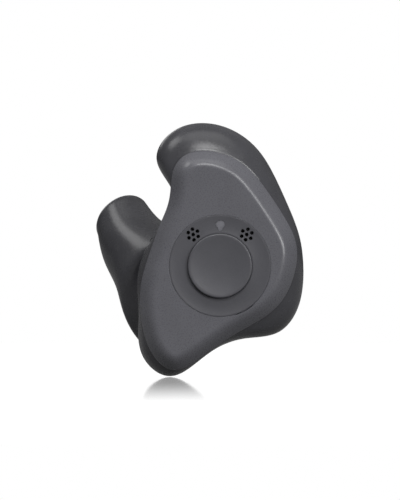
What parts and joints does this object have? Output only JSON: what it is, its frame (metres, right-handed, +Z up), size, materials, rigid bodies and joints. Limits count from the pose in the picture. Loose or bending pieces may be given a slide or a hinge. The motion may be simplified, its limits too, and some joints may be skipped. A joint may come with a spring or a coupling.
{
  "type": "in-the-ear hearing aid",
  "caption": "Custom in-the-ear hearing aid: hollow glossy shell with canal and helix lock, satin faceplate, round module with push button, sound holes and light window.",
  "frame": {"origin": "centre of the canal tip's cross section, where its rounded end begins", "axes": "+X to the right and +Z up as the faceplate is seen, +Y from the faceplate into the ear"},
  "size_m": [0.0226, 0.0195, 0.0275],
  "materials": {
    "shell_resin": "glossy dark grey acrylic",
    "plate_resin": "satin dark grey with a fine grain",
    "module_plastic": "satin dark grey",
    "button_plastic": "satin dark grey",
    "light_pipe": "pale translucent",
    "led_body": "white",
    "fine_mesh": "woven, dark",
    "silicone": "translucent white",
    "mic_can": "gold plated",
    "snap_steel": "satin",
    "board": "green solder mask",
    "chassis_plastic": "black",
    "copper_wire": "enamelled copper",
    "ferrite": "dark ceramic",
    "foam": "fine closed-cell foam",
    "cell_steel": "nickel plated",
    "gold_spring": "gold plated",
    "chip": "black",
    "ceramic": "tan ceramic with tinned ends",
    "ribbon": "amber film",
    "receiver_can": "satin",
    "wire_cover": "red enamel",
    "collar_plastic": "grey",
    "guard_plastic": "white"
  },
  "bodies": {
    "hearing_aid": {"shell": "shell_resin", "faceplate": "plate_resin", "module_bezel": "module_plastic", "led_window": "light_pipe", "indicator_led": "led_body", "mic_mesh_front": "fine_mesh", "mic_mesh_rear": "fine_mesh", "mic_gasket_front": "silicone", "mic_gasket_rear": "silicone", "front_microphone": "mic_can", "rear_microphone": "mic_can", "switch_dome": "snap_steel", "front_board": "board", "module_chassis": "chassis_plastic", "charging_coil": "copper_wire", "ferrite_disc": "ferrite", "battery_pad": "foam", "battery_cell": "cell_steel", "battery_contact_plus": "gold_spring", "battery_contact_minus": "gold_spring", "board_pad": "foam", "hybrid_board": "board", "processor_chip": "chip", "radio_chip": "chip", "capacitors": "ceramic", "flex_cable": "ribbon", "telecoil_core": "ferrite", "telecoil_winding": "copper_wire", "antenna": "gold_spring", "receiver": "receiver_can", "receiver_boot": "silicone", "receiver_tube": "silicone", "receiver_wires": "wire_cover", "guard_collar": "collar_plastic"},
    "button": {"push_button": "button_plastic"},
    "guard": {"wax_guard": "guard_plastic", "guard_mesh": "fine_mesh"}
  },
  "joints": [
    {"name": "button_press", "type": "slide", "parent": "hearing_aid", "child": "button", "axis": [0, 1, 0], "range_m": [0, 0.00025], "stiffness_N_per_m": 1500, "deforming": ["switch_dome"]},
    {"name": "guard_pull", "type": "slide", "parent": "hearing_aid", "child": "guard", "axis": [-0.4777, 0.6691, 0.5693], "range_m": [0, 0.004]}
  ]
}
